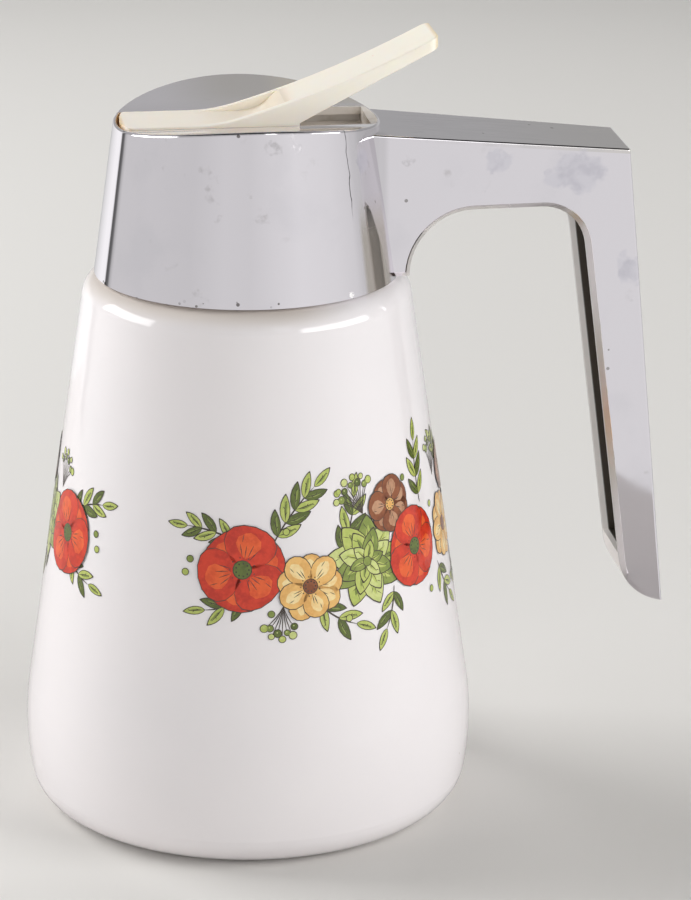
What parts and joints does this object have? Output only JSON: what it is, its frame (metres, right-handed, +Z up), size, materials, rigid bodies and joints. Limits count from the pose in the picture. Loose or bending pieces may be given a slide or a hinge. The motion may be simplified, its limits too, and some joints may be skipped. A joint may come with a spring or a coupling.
{
  "type": "syrup pitcher",
  "caption": "Tapered opaque glass syrup pitcher with a plated pour cap and handle in one piece, and a plastic thumb lever that slides to open the pour hole.",
  "frame": {"origin": "centre of the jar's foot, on the plane it stands on", "axes": "+Z up along the jar's axis, +X towards the handle and -X towards the pour lip, Y across the handle"},
  "size_m": [0.1342, 0.094, 0.1633],
  "materials": {
    "glass_body": "opaque white glass, fire-polished and glossy, with a printed band of fruit and leaves",
    "plated_cap": "bright plating over moulded plastic, lightly smudged and pitted with wear",
    "lever_plastic": "satin moulded plastic, aged from white to cream"
  },
  "bodies": {
    "pitcher": {"jar": "glass_body", "pour_cap": "plated_cap"},
    "lever": {"thumb_lever": "lever_plastic"}
  },
  "joints": [
    {"name": "lever_slide", "type": "slide", "parent": "pitcher", "child": "lever", "axis": [1, 0, 0], "range_m": [0, 0.014], "stiffness_N_per_m": 120, "springref_m": -0.006}
  ]
}
